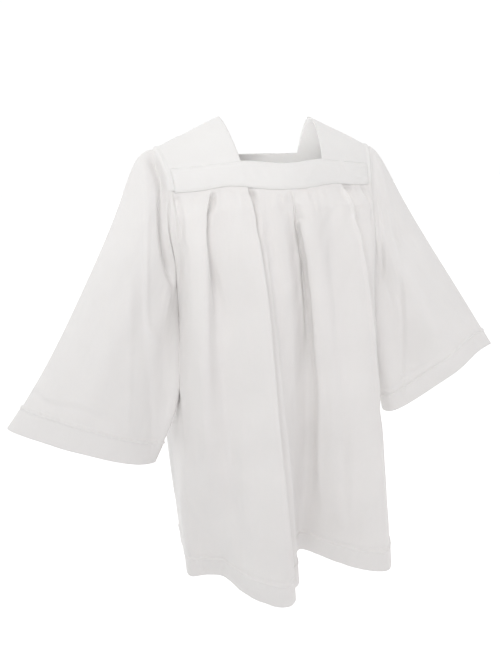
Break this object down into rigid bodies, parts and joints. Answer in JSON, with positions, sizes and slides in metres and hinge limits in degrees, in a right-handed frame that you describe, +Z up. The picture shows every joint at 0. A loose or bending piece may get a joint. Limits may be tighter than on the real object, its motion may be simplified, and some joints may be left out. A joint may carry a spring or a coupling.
{
  "type": "choir surplice",
  "caption": "White choir surplice with a square neck, a banded yoke, a gathered knee-length body and wide bell sleeves, hollow and shaped as worn.",
  "frame": {"origin": "where the wearer's shoulders carry it: midway between the two points at which the yoke lies beside the neck", "axes": "+Z up along the wearer, -Y out of the wearer's chest, +X towards the wearer's left hand"},
  "size_m": [0.986, 0.373, 0.9154],
  "materials": {
    "yoke_cloth": "plain weave, matt",
    "body_cloth": "plain weave, matt",
    "sleeve_cloth": "plain weave, matt"
  },
  "bodies": {
    "root": {"yoke_front": "yoke_cloth", "yoke_back": "yoke_cloth", "chest_band": "yoke_cloth", "body_front": "body_cloth", "body_back": "body_cloth", "sleeve_left": "sleeve_cloth", "sleeve_right": "sleeve_cloth"}
  },
  "joints": []
}
